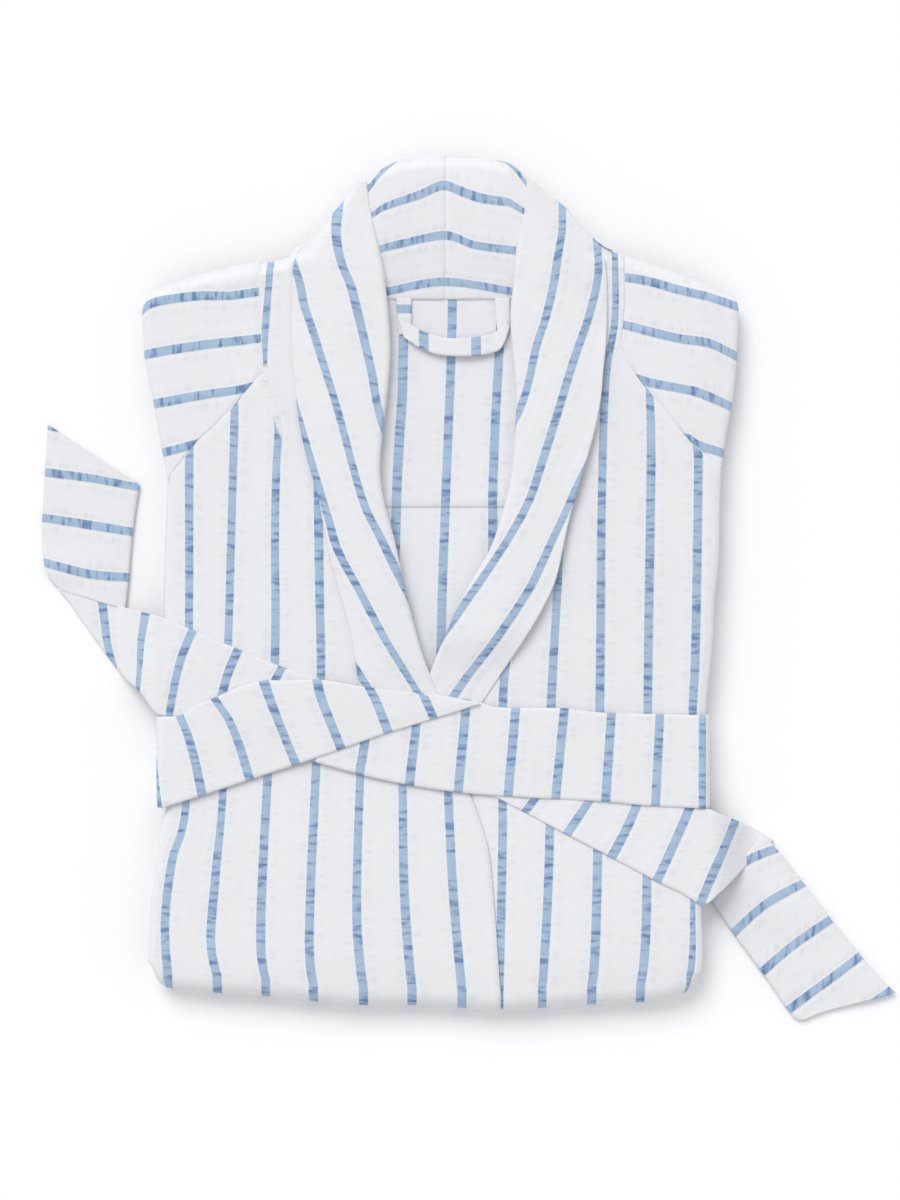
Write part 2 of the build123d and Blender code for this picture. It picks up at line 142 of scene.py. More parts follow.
def stripe_count(stripes, x, drop, first=0):
    """The stripe number at each place, from the lines that the stripes follow, all in millimetres."""
    lines = []
    for stripe in stripes:
        line = through(sorted(stripe, key=lambda place: place[1]), 60)
        start = (line[1, 0] - line[0, 0]) / (line[1, 1] - line[0, 1])
        end = (line[-1, 0] - line[-2, 0]) / (line[-1, 1] - line[-2, 1])
        at = np.interp(drop, line[:, 1], line[:, 0])
        at = at + np.minimum(drop - line[0, 1], 0) * start + np.maximum(drop - line[-1, 1], 0) * end
        lines.append(at)
    count = first + (x - lines[0]) / pitch
    for k, (near, far) in enumerate(zip(lines, lines[1:])):
        inside = x > near
        count = np.where(inside, first + k + (x - near) / np.maximum(far - near, 8), count)
    last = first + len(lines) - 1
    return np.where(x > lines[-1], last + (x - lines[-1]) / pitch, count)


def pucker(count, along):
    """How the weave stands up in crinkled columns, a quarter of a stripe pitch wide."""
    column = np.floor(count * 4 + 0.5)
    across = np.sin(np.pi * (count * 4 + 0.5 - column)) ** 2
    crinkle = uneven(column * 7, along / pucker_length, 3)
    near_stripe = np.maximum(0.15, 0.4 + 0.6 * np.cos(2 * np.pi * count))
    return across * crinkle * near_stripe * (0.6 + 0.4 * uneven(count * 1.7, along / 0.03, 5))


def cloth(name, patches, material, body, nodes, thick=cloth_thick):
    """A piece of cloth, closed round its edges, from grids of (places, stripe count, length along)."""
    verts, faces, weave, dye_and_shade = [], [], [], []
    for places, count, along, *depth in patches:
        rows, cols = places.shape[:2]
        normal = np.cross(np.gradient(places, axis=0), np.gradient(places, axis=1))
        normal /= np.maximum(np.linalg.norm(normal, axis=2, keepdims=True), 1e-12)
        places = places + normal * (pucker(count, along) * pucker_height)[..., None]
        half = normal * (thick / 2 if np.isscalar(thick) else thick[..., None] / 2)
        last_row, last_col = rows - 1, cols - 1
        i = [np.zeros(cols), np.arange(1, rows), np.full(last_col, last_row), np.arange(last_row - 1, 0, -1)]
        j = [np.arange(cols), np.full(last_row, last_col), np.arange(last_col)[::-1], np.zeros(rows - 2)]
        i, j = np.concatenate(i), np.concatenate(j)
        i, j = i.astype(int), j.astype(int)
        inner = places[np.clip(i, 1, rows - 2), np.clip(j, 1, cols - 2)]
        outward = places[i, j] - inner
        outward /= np.maximum(np.linalg.norm(outward, axis=1, keepdims=True), 1e-9)
        rim = places[i, j] + outward * np.linalg.norm(half, axis=2)[i, j][:, None] * 0.8
        base = sum(len(v) for v in verts)
        number = base + np.arange(rows * cols).reshape(rows, cols)
        under = number + rows * cols
        quads = np.stack([number[:-1, :-1], number[1:, :-1], number[1:, 1:], number[:-1, 1:]], -1)
        quads = quads.reshape(-1, 4)
        edge = base + 2 * rows * cols + np.arange(len(i))
        top_edge, low_edge = number[i, j], under[i, j]
        faces += [quads, quads[:, ::-1] + rows * cols]
        faces += [np.stack([top_edge, np.roll(top_edge, -1), np.roll(edge, -1), edge], -1)]
        faces += [np.stack([edge, np.roll(edge, -1), np.roll(low_edge, -1), low_edge], -1)]
        verts += [(places + half).reshape(-1, 3), (places - half).reshape(-1, 3), rim]
        flat = np.column_stack([count.ravel(), along.ravel()])
        weave += [flat, flat, flat[i * cols + j]]
        strength = (depth[0] if depth else np.ones((rows, cols))).ravel()
        dye_and_shade += [strength, strength, strength[i * cols + j]]
    verts, faces, weave = np.vstack(verts), np.vstack(faces), np.vstack(weave)
    mesh = bpy.data.meshes.new(name)
    mesh.from_pydata(verts, [], faces.tolist())
    dyed = mesh.attributes.new("dye_and_shade", "FLOAT", "POINT")
    dyed.data.foreach_set("value", np.concatenate(dye_and_shade).astype(np.float32))
    layer = mesh.uv_layers.new(name="weave")
    layer.data.foreach_set("uv", weave[faces.ravel()].astype(np.float32).ravel())
    shaped = bmesh.new()
    shaped.from_mesh(mesh)
    bmesh.ops.recalc_face_normals(shaped, faces=shaped.faces)
    shaped.to_mesh(mesh)
    shaped.free()
    mesh.shade_smooth()
    mesh.materials.append(material)
    piece = bpy.data.objects.new(name, mesh)
    bpy.context.scene.collection.objects.link(piece)
    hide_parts(*nodes)
    if body:
        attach(piece, body)
    return piece


class Thread:
    """A node's output that adds its own Math nodes when it is used in an expression."""

    def __init__(self, tree, socket):
        self.tree, self.socket = tree, socket

    def node(self, kind, settings, sockets, output=0):
        made = self.tree.nodes.new(kind)
        for key, value in settings.items():
            setattr(made, key, value)
        for key, value in sockets.items():
            if isinstance(value, Thread):
                self.tree.links.new(value.socket, made.inputs[key])
            else:
                made.inputs[key].default_value = value
        return Thread(self.tree, made.outputs[output])

    def math(self, operation, *others):
        values = dict(enumerate((self, *others)))
        return self.node("ShaderNodeMath", {"operation": operation}, values)

    def __add__(self, other):
        return self.math("ADD", other)

    def __mul__(self, other):
        return self.math("MULTIPLY", other)

    def __sub__(self, other):
        return self.math("SUBTRACT", other)

    def __rsub__(self, other):
        return self * -1 + other

    __radd__, __rmul__ = __add__, __mul__


def colour(red, green, blue):
    """A colour given in display values from 0 to 255."""
    share = np.array([red, green, blue]) / 255
    linear = np.where(share < 0.04045, share / 12.92, ((share + 0.055) / 1.055) ** 2.4)
    return (*(float(v) for v in linear), 1.0)


# The grey is painted shade on the crinkles of the white ground; the darker blue is painted shade on the
# stripes' crinkles, together with random darker patches of tone.
white, crease_shade_grey = (230, 231, 233), (140, 150, 166)
blue, shade_and_mottle_blue = (178, 200, 222), (102, 133, 174)


def seersucker(name, crease=1.0):
    """Puckered cotton, matt: flat white ground and blue stripes, with shade painted into their crinkles and
    random deeper patches in the blue; crease scales both the bump and the painted shade.
    """
    material = bpy.data.materials.new(name)
    material.use_nodes = True
    tree = material.node_tree
    shader = tree.nodes["Principled BSDF"]
    weave = Thread(tree, None).node("ShaderNodeUVMap", {"uv_map": "weave"}, {})
    count = weave.node("ShaderNodeSeparateXYZ", {}, {0: weave})
    along = Thread(tree, count.socket.node.outputs[1])
    off = ((count + 0.5).math("FRACT") - 0.5).math("ABSOLUTE")
    strength = off.node("ShaderNodeAttribute", {"attribute_name": "dye_and_shade"}, {}, 2)
    band = {0: off, 1: stripe_half + stripe_soft, 2: stripe_half - stripe_soft, 3: 0.0, 4: 1.0}
    stripe = off.node("ShaderNodeMapRange", {}, band)
    stripe = stripe * strength
    column = (count * 4 + 0.5).math("FLOOR")
    in_column = (count * 4 + 0.5).math("FRACT")
    near_stripe = ((count * (2 * float(np.pi))).math("COSINE") * 0.6 + 0.4).math("MAXIMUM", 0.15)
    crest = (in_column * float(np.pi)).math("SINE") * near_stripe
    where = count.node("ShaderNodeCombineXYZ", {}, {0: column * 5.31, 1: along * 260.0, 2: in_column * 0.5})
    crinkle = where.node("ShaderNodeTexNoise", {"noise_dimensions": "3D"},
                         {"Vector": where, "Scale": 1.0, "Detail": 2.0})
    sharp = crinkle.node("ShaderNodeMapRange", {}, {0: crinkle, 1: 0.50, 2: 0.66, 3: 0.0, 4: 1.0})
    spread = count.node("ShaderNodeCombineXYZ", {}, {0: count * 2.0, 1: along * 45.0})
    patches = spread.node("ShaderNodeTexNoise", {"noise_dimensions": "2D"},
                          {"Vector": spread, "Scale": 1.0, "Detail": 3.0})
    fibre_at = count.node("ShaderNodeCombineXYZ", {}, {0: count * 33.0, 1: along * 1000.0})
    fibre = fibre_at.node("ShaderNodeTexNoise", {"noise_dimensions": "2D"},
                          {"Vector": fibre_at, "Scale": 1.6, "Detail": 2.0})
    mix = {"data_type": "RGBA"}
    # Painted shade: the stripes turn deeper blue where the crinkle noise is high, and also in random patches
    # of tone.
    dye_and_shade = (sharp * 0.7 + patches * 0.45).math("MINIMUM", 1.0)
    blues = dye_and_shade.node("ShaderNodeMix", mix, {0: dye_and_shade, 6: colour(*blue), 7: colour(*shade_and_mottle_blue)}, 2)
    # Painted shade: the white turns grey on the crinkle crests, more so near the stripes.
    shade = sharp * crest * (0.22 * crease)
    whites = shade.node("ShaderNodeMix", mix, {0: shade, 6: colour(*white), 7: colour(*crease_shade_grey)}, 2)
    base = stripe.node("ShaderNodeMix", mix, {0: stripe, 6: whites, 7: blues}, 2)
    height = crinkle * crest + patches * 0.35 + fibre * 0.12
    bump = height.node("ShaderNodeBump", {}, {"Strength": 0.7 * crease, "Distance": 0.001, "Height": height})
    tree.links.new(base.socket, shader.inputs["Base Color"])
    tree.links.new(bump.socket, shader.inputs["Normal"])
    rough = 0.78 + fibre * 0.12
    tree.links.new(rough.socket, shader.inputs["Roughness"])
    shader.inputs["Sheen Weight"].default_value = 0.12
    shader.inputs["Specular IOR Level"].default_value = 0.25
    return material


# ---- Fronts ----
# Two fronts, each folded behind at the side and folded under at the bottom, with the hem at the back.
# The wearer's right front wraps over the left one below the point of the neck opening.

side_sign = {"right": -1, "left": 1}
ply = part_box("belt_back_run")[1].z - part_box("belt_back_run")[0].z
half_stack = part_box("right_belt_loop")[0].z - 0.3 * mm
belt_low_y, belt_high_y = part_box("belt_back_run")[0].y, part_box("belt_back_run")[1].y
belt_drop = (top_y - (belt_low_y + belt_high_y) / 2) / mm
turn_radius = pack_top / 2
turn_reach = turn_radius * 1.15      # the bottom fold is a little softer than a half circle
hem_drop = 102
lowest = 0.6                         # no ply's middle lies nearer to the table than this
upper_rows, turn_rows, lower_rows = 270, 22, 70

bottom_edge = [(-205, 572), (-192, 580), (-177, 583), (-145, 586), (-114, 588), (-79, 592), (-51, 594),
               (-16, 594),
               (19, 596), (47, 598), (100, 594), (145, 592), (159, 591), (173, 587), (182, 584), (205, 578)]
last_upper_drop = min(b for a, b in bottom_edge) - turn_reach / mm
wrap_edge = [(0, 385), (14, 420), (26, 446), (33, 464), (39, 485), (42, 506), (45, 534), (47, 555),
             (50, 579),
             (52, 600)]
front_inner = {
    "right": [(-85, 60), (-60, 90), (-52, 130), (-52, 190), (-50, 240), (-36, 300), (-22, 350)] + wrap_edge,
    "left": [(95, 60), (80, 90), (76, 130), (78, 190), (66, 240), (42, 300), (20, 345), (-10, 380),
             (-50, 420),
             (-75, 446), (-80, 480), (-80, 600)],
}
armhole = {
    "right": [(-122, 72), (-121, 100), (-120, 128), (-119, 148), (-126, 159), (-135, 169), (-152, 188),
              (-164, 198),
              (-172, 208), (-184, 223)],
    "left": [(134, 68), (135, 100), (133, 132), (143, 153), (152, 164), (178, 196), (187, 204), (202, 217)],
}
side_edge = {
    "right": [(-185, 228), (-187, 282), (-188, 324), (-191, 375), (-190, 408), (-187, 443), (-186, 454),
              (-189, 468),
              (-192, 485), (-196, 513), (-198, 541), (-199, 559), (-197, 573), (-193, 584), (-190, 600)],
    "left": [(202, 222), (201, 240), (200, 282), (197, 310), (196, 338), (194, 359), (191, 391), (190, 455),
             (188, 490), (188, 524), (189, 548), (187, 569), (184, 584), (181, 600)],
}
front_stripes = {
    "right": [[(-170, 205), (-170, 329), (-172, 452), (-182, 492), (-187, 534), (-185, 572), (-181, 582)],
              [(-138, 168), (-140, 240), (-143, 338), (-147, 446), (-152, 506), (-155, 551), (-147, 585)],
              [(-113, 66), (-116, 100), (-119, 140), (-117, 160), (-108, 187), (-109, 215), (-110, 260),
               (-110, 350), (-116, 443), (-120, 548), (-114, 586)],
              [(-80, 252), (-79, 310), (-78, 366), (-82, 443), (-86, 551), (-81, 591)],
              [(-47, 366), (-51, 446), (-53, 527), (-50, 569), (-46, 593)],
              [(-21, 443), (-20, 506), (-17, 555), (-13, 593)],
              [(11, 446), (14, 506), (18, 555), (22, 595)]],
    "left": [[(20, 362), (17, 450), (15, 590)],
             [(53, 340), (49, 383), (49, 478), (47, 590)],
             [(88, 292), (83, 385), (82, 471), (80, 527), (76, 590)],
             [(128, 65), (128, 114), (121, 156), (118, 240), (117, 387), (114, 548), (110, 591)],
             [(152, 164), (153, 205), (151, 345), (150, 506), (148, 562), (143, 591)],
             [(185, 203), (186, 219), (184, 345), (182, 400), (183, 548), (177, 585)]],
}


def body_top(x, drop):
    """Height of the robe's upper face: pressed in by the belt and round at its edges, x and drop in mm."""
    swell = 3.2 * ease((drop - 75) / 110) * (1 - (np.abs(x) / 215) ** 4)
    pinch = np.exp(-(((drop - belt_drop) / 52) ** 2))
    lumps = 0.9 * uneven(x / 70 + 3, drop / 90, 1) + 0.5 * uneven(x / 24, drop / 40, 2)
    lumps = lumps + 0.12 * uneven(x / 9, drop / 15, 6)
    dent = -0.9 * np.exp(-(((x + 126) / 6) ** 2)) * ease((drop - 160) / 20) * ease((270 - drop) / 30)
    pleats = 0.5 * np.exp(-(((drop - belt_drop) / 75) ** 2)) * uneven(x / 11, drop / 160, 8)
    round_off = -2.5 * ease((drop - 560) / 40)
    return pack_top / mm + (swell + lumps) * (1 - 0.85 * pinch) + dent + pleats + round_off


def folded_round(x, drop, deep, part):
    """Places of a ply, deep millimetres in from the outer face, before, in and after the bottom fold."""
    upper, turn, lower = part
    bottom = edge_at(swapped(bottom_edge), x)
    outer = turn_radius / mm
    reach = turn_reach / mm
    start = bottom - reach
    top_z = body_top(x, drop) - deep
    end_z = body_top(x, start) - deep
    angle = np.pi * turn
    middle = (end_z + deep) / 2
    turn_drop = start + (reach - deep) * np.sin(angle)
    turn_z = middle + (end_z - deep) / 2 * np.cos(angle)
    low_drop = start + (hem_drop - start) * lower
    y = np.where(turn <= 0, drop, np.where(turn < 1, turn_drop, low_drop))
    low_z = deep + 0.35 * uneven(x / 40, low_drop / 40, 4)
    z = np.where(turn <= 0, top_z, np.where(turn < 1, turn_z, low_z))
    length = np.where(turn <= 0, drop, start + outer * np.pi * turn + (start - hem_drop) * lower)
    return placed(x, y, np.maximum(z, lowest)), length


def path_shares(first_drop, last_drop):
    """Rows down the upper half, round the bottom fold and back up the lower half."""
    upper = np.linspace(0, 1, upper_rows)
    turn = np.linspace(0, 1, turn_rows)[1:]
    lower = np.linspace(0, 1, lower_rows)[1:]
    drop = first_drop + upper * (last_drop - first_drop)
    drop = np.concatenate([drop, np.full(len(turn) + len(lower), last_drop)])
    turn = np.concatenate([np.zeros(upper_rows), turn, np.ones(len(lower))])
    lower = np.concatenate([np.zeros(upper_rows + turn_rows - 1), lower])
    return drop, turn, lower


front_columns, side_columns, flap_columns = 54, 12, 22
side_fold_run = 19                   # cloth in the turn of the side fold
front_flap, side_flap = 9, 100       # cloth folded behind at the armhole, and how much more at the side
shoulder_drop = {"right": 70, "left": 66}
shoulder_slope = {"right": (100, 22, 5), "left": (121, 13, 2)}     # from where, over what width, how much
nape = {"right": (95, 7, 6.5), "left": (118, 11, 4.6)}             # up to where, over what width, how much


def front_patch(side):
    """One front, from its inner edge out to the side fold and back behind, over the whole length."""
    sign = side_sign[side]
    last = last_upper_drop
    drop, turn, lower = path_shares(shoulder_drop[side], last)
    low_drop = np.where(turn < 1, drop, last + (hem_drop - last) * lower)
    inner = edge_at(front_inner[side], low_drop)
    at_arm = ease((drop - 214) / 16)
    outer = np.where(low_drop < 221, edge_at(armhole[side], low_drop), edge_at(side_edge[side], low_drop))
    drawn_in = 2 + 5 * np.sin(np.pi * turn)
    outer = np.where(turn > 0, edge_at(side_edge[side], np.maximum(low_drop, 228)) - sign * drawn_in, outer)
    at_arm = np.where(turn > 0, 1.0, at_arm)
    fold_out = 0.9 + 5.6 * at_arm
    fold_deep = 2.6 + (half_stack / mm - ply / mm - 2.6) * at_arm
    flap = front_flap + side_flap * at_arm
    share = np.linspace(0, 1, front_columns)
    flat_x = inner[:, None] + (outer - sign * fold_out - inner)[:, None] * share
    angle = np.linspace(0, np.pi, side_columns + 1)[1:]
    behind = np.linspace(0, 1, flap_columns + 1)[1:]
    fold_x = (outer - sign * fold_out)[:, None] + sign * fold_out[:, None] * np.sin(angle)
    back_x = (outer - sign * fold_out)[:, None] - sign * flap[:, None] * behind
    x = np.hstack([flat_x, fold_x, back_x])
    deep = np.hstack([np.zeros_like(flat_x), fold_deep[:, None] * (1 - np.cos(angle)) / 2,
                      np.repeat(fold_deep[:, None], flap_columns, 1)])
    if side == "left":
        under = ease((edge_at(wrap_edge, drop)[:, None] + 7 - x) / 9) * ease((drop[:, None] - 350) / 25)
        under = np.where((turn > 0)[:, None], ease((edge_at(wrap_edge, last) + 7 - x) / 9), under)
        deep = deep + under * 2.2 * (deep < 1.5)
    seam = np.exp(-(((x - outer[:, None]) / 2.2) ** 2)) * (1 - at_arm[:, None]) * (deep < 1)
    drops = np.repeat(drop[:, None], x.shape[1], 1)
    slope_x, slope_width, slope_fall = shoulder_slope[side]
    shoulder = 0.55 + 0.45 * ease((np.abs(x) - slope_x + 12) / 18)
    shoulder = (1 - ease((drops - shoulder_drop[side]) / 9)) * shoulder
    fall = np.clip((np.abs(x) - slope_x) / slope_width, -2.5, 1) * slope_fall
    nape_x, nape_width, nape_rise = nape[side]
    fall = fall - nape_rise * (1 - ease((np.abs(x) - nape_x) / nape_width))
    drops = drops + fall * (1 - ease((drops - shoulder_drop[side]) / 40))
    part = (drops, np.repeat(turn[:, None], x.shape[1], 1), np.repeat(lower[:, None], x.shape[1], 1))
    spread = ease((drops - 480) / 90)
    bottom = edge_at(swapped(bottom_edge), x) - turn_reach / mm
    drops = drops + (bottom - last) * spread
    places, length = folded_round(x, drops, deep + seam * 0.35 + shoulder * 5, part)
    count = stripe_count(front_stripes[side], flat_x, drops[:, :front_columns])
    around = side_fold_run + side_flap
    wrapped = sign * np.linspace(0, 1, side_columns + flap_columns + 1)[1:] * around / pitch
    count = np.hstack([count, count[:, -1:] + wrapped])
    dye_and_shade = np.ones_like(count)
    if side == "right":
        # the stripe beside the collar fades out under it and comes out again lower down, in a point
        start = np.maximum(186.7 + (x + 109.3) * 2.6, 186)
        dye_and_shade = 1 - ease((drops - 145) / 3) * (1 - ease((drops - start + 2) / 4)) * (np.abs(x + 112) < 20)
    return places, count, length * mm, dye_and_shade


body_cloth = seersucker("body_cloth")
for side in ("right", "left"):
    front = cloth(side + "_front_cloth", [front_patch(side)], body_cloth, "robe",
                  [side + "_front"])


# ---- Back ----
# The back is one piece, seen inside the neck opening and at the hem. Its sides fold in with the fronts.
# It lies under both fronts, some 5 mm lower than they do.

back_deep = 2 * ply / mm + 2.6
back_deepest = 7.6
back_side = {"right": (118, 177), "left": (130, 184)}              # half widths at the armhole and below it
back_stripes = [
    [(-59, 124), (-64, 278), (-70, 600)], [(-20, 124), (-21, 170), (-23, 198), (-26, 278), (-32, 600)],
    [(14, 100), (13, 142), (9, 247), (6, 338), (2, 600)], [(47, 131), (44, 184), (42, 240), (42, 278),
    (38, 600)], [(80, 131), (77, 278), (72, 600)]]


def neck_hollow(x, drop):
    """How far the back sinks inside the neck opening, and how far it comes up by the neck seam."""
    hollow = 2.2 * np.exp(-(((drop - 190) / 110) ** 2)) * np.exp(-(((x - 8) / 60) ** 2))
    return hollow, -1.2 * (1 - ease((drop - 62) / 60))


def back_top(x, drop, above):
    """Height of what lies above the back inside the neck opening."""
    hollow, neck = neck_hollow(x, drop)
    return body_top(x, drop) - back_deep - np.minimum(hollow + neck, back_deepest - back_deep) + above


def back_patch():
    """The back from the neck seam to the hem, with its two side flaps folded in."""
    last = last_upper_drop
    drop, turn, lower = path_shares(86, last)
    columns = 90
    at_arm = np.where(turn > 0, 1.0, ease((drop - 205) / 30))
    (arm_low, side_low), (arm_high, side_high) = back_side["right"], back_side["left"]
    left = -(arm_low + (side_low - arm_low) * at_arm)
    right = arm_high + (side_high - arm_high) * at_arm
    fold, flap = 1.6, 2 + 98 * at_arm
    middle_x = left[:, None] + (right - left)[:, None] * np.linspace(0, 1, columns)
    angle = np.linspace(0, np.pi, 8)[1:]
    behind = np.linspace(0, 1, 16)[1:]
    out = np.hstack([np.tile(fold * np.sin(angle), (len(drop), 1)), -flap[:, None] * behind])
    right_x, left_x = right[:, None] + out, left[:, None] - out
    x = np.hstack([left_x[:, ::-1], middle_x, right_x])
    turned = np.concatenate([(1 - np.cos(angle)) / 2, np.ones(15)]) * 1.7
    deep = np.concatenate([turned[::-1], np.zeros(columns), turned])[None, :] + back_deep
    drops = np.repeat(drop[:, None], x.shape[1], 1)
    hollow, neck = neck_hollow(x, drops)
    part = (drops, np.repeat(turn[:, None], x.shape[1], 1), np.repeat(lower[:, None], x.shape[1], 1))
    deep = np.minimum(deep + hollow * (part[1] <= 0) + neck, back_deepest)
    places, length = folded_round(x, drops, deep, part)
    count = stripe_count(back_stripes, middle_x, drops[:, :columns])
    around = np.linspace(0, 1, len(turned) + 1)[1:] * 103 / pitch
    count = np.hstack([count[:, :1] - around[::-1], count, count[:, -1:] + around])
    return places, count, length * mm


back = cloth("back_panel_cloth", [back_patch()], body_cloth, "robe", ["back_panel"])


# ---- Sleeves ----
# A sleeve is set into each armhole, folded behind along its outer edge and laid down behind the body.
# Its stripes run across the arm, so they slant out from the armhole.

sleeve_outer = {
    "right": [(-196, 92), (-201, 100), (-203, 111), (-202, 128), (-201, 142), (-196, 167), (-192, 187),
              (-189, 205), (-185, 226)],
    "left": [(211, 96), (214, 104), (214, 118), (213, 142), (210, 170), (206, 191), (203, 211), (202, 221)],
}
sleeve_stripes = {
    "right": [[(-203, 108), (-198, 103), (-187, 100), (-163, 97), (-142, 97), (-121, 94)],
              [(-201, 138), (-177, 134), (-149, 130), (-121, 127)],
              [(-196, 173), (-163, 167), (-135, 163), (-119, 158)],
              [(-189, 207), (-177, 204), (-150, 196)]],
    "left": [[(135, 84), (152, 87), (173, 93), (194, 98), (213, 104)],
             [(133, 117), (152, 122), (173, 127), (194, 130), (213, 139)],
             [(133, 151), (152, 158), (173, 162), (187, 165), (208, 174)],
             [(160, 192), (179, 197), (187, 202), (203, 207)]],
}
sleeve_length, sleeve_width, sleeve_top = 285, 142, 98
sleeve_outer_x = {"right": 182, "left": 189}


def sleeve_cap(side):
    """What shows of a sleeve: from the armhole seam out to its fold, and round behind."""
    sign = side_sign[side]
    rows, columns = 80, 34
    seam = through(armhole[side], rows)
    outer = through(sleeve_outer[side], rows)
    share = np.linspace(0, 1, columns)[None, :, None]
    down = np.linspace(0, 1, rows)
    fold_out = 5.0 * ease(down * 8) * ease((1 - down) * 6) + 0.8
    inner_x = seam[:, :1] - sign * 1.6
    edge_x = outer[:, :1] - sign * fold_out[:, None]
    x = inner_x + (edge_x - inner_x) * share[:, :, 0]
    drop = seam[:, 1:] + (outer[:, 1:] - seam[:, 1:]) * share[:, :, 0]
    drop = drop - np.sin(np.pi * share[:, :, 0]) * 1.5 * (1 - down[:, None])
    top_z = body_top(x, drop) - 1.1 * ease(1.6 - np.abs(x - inner_x) / 2.4)
    top_z = top_z - 5.5 * (1 - ease((drop - drop[:1]) / 10)) - 1.5 * ease((np.abs(x) - 185) / 25)
    floor_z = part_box(side + "_sleeve")[0].z / mm + 2.6
    angle = np.linspace(0, np.pi, 12)[1:]
    start_z = top_z[:, -1:]
    fold_x = edge_x + sign * fold_out[:, None] * np.sin(angle)
    fold_z = (start_z + floor_z) / 2 + (start_z - floor_z) / 2 * np.cos(angle)
    behind = np.linspace(0, 1, 10)[1:]
    back_x = edge_x - sign * 30 * behind * ease(down[:, None] * 4 + 0.2)
    x = np.hstack([x, fold_x, back_x])
    z = np.hstack([top_z, fold_z, np.full((rows, 9), floor_z)])
    drop = np.hstack([drop, np.repeat(drop[:, -1:], 20, 1)])
    count = stripe_count([swapped(line) for line in sleeve_stripes[side]], drop, x)
    along = np.hstack([x[:, :columns], x[:, columns - 1:columns] + sign * np.arange(1, 21) * 2.0])
    return placed(x, drop, z), count, along * mm


def sleeve_tube(side):
    """The rest of the sleeve, a flattened tube laid down behind the body."""
    sign = side_sign[side]
    low_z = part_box(side + "_sleeve")[0].z / mm + 0.6
    high_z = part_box(side + "_sleeve")[0].z / mm + 2.4
    length = np.linspace(0, 1, 60)[:, None]
    loop = np.linspace(0, 2 * np.pi, 64)[None, :]
    flat = np.sign(np.cos(loop)) * np.abs(np.cos(loop)) ** 0.12
    x = sign * (sleeve_outer_x[side] - sleeve_width / 2 + flat * sleeve_width / 2) + 0 * length
    z = (low_z + high_z) / 2 + (high_z - low_z) / 2 * np.sign(np.sin(loop)) * np.abs(np.sin(loop)) ** 0.3
    z = z + 0 * length
    drop = sleeve_top + sleeve_length * length + 0 * loop
    count = drop / pitch
    return placed(x, drop, z), count, x * mm


sleeve_cloth = seersucker("sleeve_cloth")
for side in ("right", "left"):
    sleeve = cloth(side + "_sleeve_cloth", [sleeve_cap(side), sleeve_tube(side)], sleeve_cloth,
                   "robe", [side + "_sleeve"])


# ---- Back neck facing ----
# A square of the same cloth faced on inside the back neck, sewn along its lower edge.

facing_cloth = seersucker("facing_cloth")
facing_low, facing_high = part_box("back_neck_facing")


def facing_patch():
    """The facing, flat on the back, with its sewn lower edge drawn down."""
    end = (top_y - facing_low.y) / mm
    x = np.linspace(facing_low.x, facing_high.x, 60)[None, :] / mm
    drop = np.linspace(97, end, 70)[:, None]
    x, drop = x + 0 * drop, drop + 0 * x
    z = back_top(x, drop, 1.3 - 0.95 * ease((drop - end + 4) / 4))
    return placed(x, drop, z), stripe_count(back_stripes, x, drop), drop * mm


facing = cloth("back_neck_facing_cloth", [facing_patch()], facing_cloth, "robe",
               ["back_neck_facing"])


# ---- Collar ----
# A shawl collar in two plies, cut in two halves and joined at the middle of the back neck.
# It stands up behind the neck, falls over behind, and rolls outwards down both edges of the opening.

collar_cloth = seersucker("collar_cloth")
collar_join_x = 9
roll_edge = {
    "right": [(-47, 17), (-44, 40), (-39, 69), (-36, 93), (-33, 128), (-34, 156), (-38, 191), (-40, 219),
              (-37, 242),
              (-30, 268), (-23, 300), (-16, 328), (-9, 352), (1, 377), (8, 392)],
    "left": [(67, 17), (65, 41), (62, 62), (60, 90), (58, 111), (60, 142), (62, 170), (61, 198), (58, 226),
             (53, 247),
             (45, 272), (36, 288), (23.5, 310), (12.5, 335), (6.5, 349), (-2.5, 373), (-9, 390)],
}
leaf_edge = {
    "right": [(-53, 19), (-65, 34), (-80, 51), (-93, 66), (-97, 78), (-98, 100), (-98, 128), (-96, 156),
              (-93, 184),
              (-88, 208), (-80, 236), (-73, 272), (-68, 293), (-61, 317), (-55, 342), (-50, 372),
              (-42, 390)],
    "left": [(72, 18), (82, 27), (93, 36), (104, 49), (117, 62), (121, 79), (122, 100), (121, 128),
             (119, 149),
             (117, 170), (112, 195), (103, 226), (95, 254), (87, 291), (81, 307), (72, 324), (62, 340),
             (50, 358),
             (34, 382), (26, 392)],
}
collar_stripes = {
    "right": [[(-78, 234), (-72, 254), (-66, 275), (-51, 303), (-40, 324), (-30, 342), (-9, 376)],
              [(-104, 56), (-99, 70), (-93, 88), (-90, 104), (-84, 121), (-75, 149), (-65, 181), (-49, 240),
               (-37, 265), (-27, 286), (-10, 320), (10, 360), (20, 380)],
              [(-65, 34), (-67, 55), (-63, 76), (-56, 93), (-46, 135), (-42, 153), (-37, 181),
               (-22, 225), (0, 265), (25, 305), (62, 370)]],
    "left": [[(91, 30), (91, 51), (88, 69), (84, 93), (79, 114), (73, 132), (65, 167), (51, 200), (36, 230),
              (14, 272), (-8, 310), (-34, 355)],
             [(115, 64), (116, 79), (113, 97), (107, 118), (96, 149), (77, 212), (68, 240), (54, 266),
              (38, 290),
              (24, 310), (6, 335), (-16, 362)],
             [(147, 64), (143, 110), (130, 165), (114, 205), (106, 220), (100, 232), (91.5, 251),
              (82, 271.5),
              (72, 294), (63, 310), (44, 338), (25, 363), (14, 379)]],
}
leaf_lift = {"right": (4.2, 2.6, 0.4), "left": (4.0, 3.0, 5.0)}     # at the roll, between, at the outer edge
leaf_cross = {"right": 1.1, "left": -1.1}                          # the right leaf lies over the left one
collar_highest = 34.5


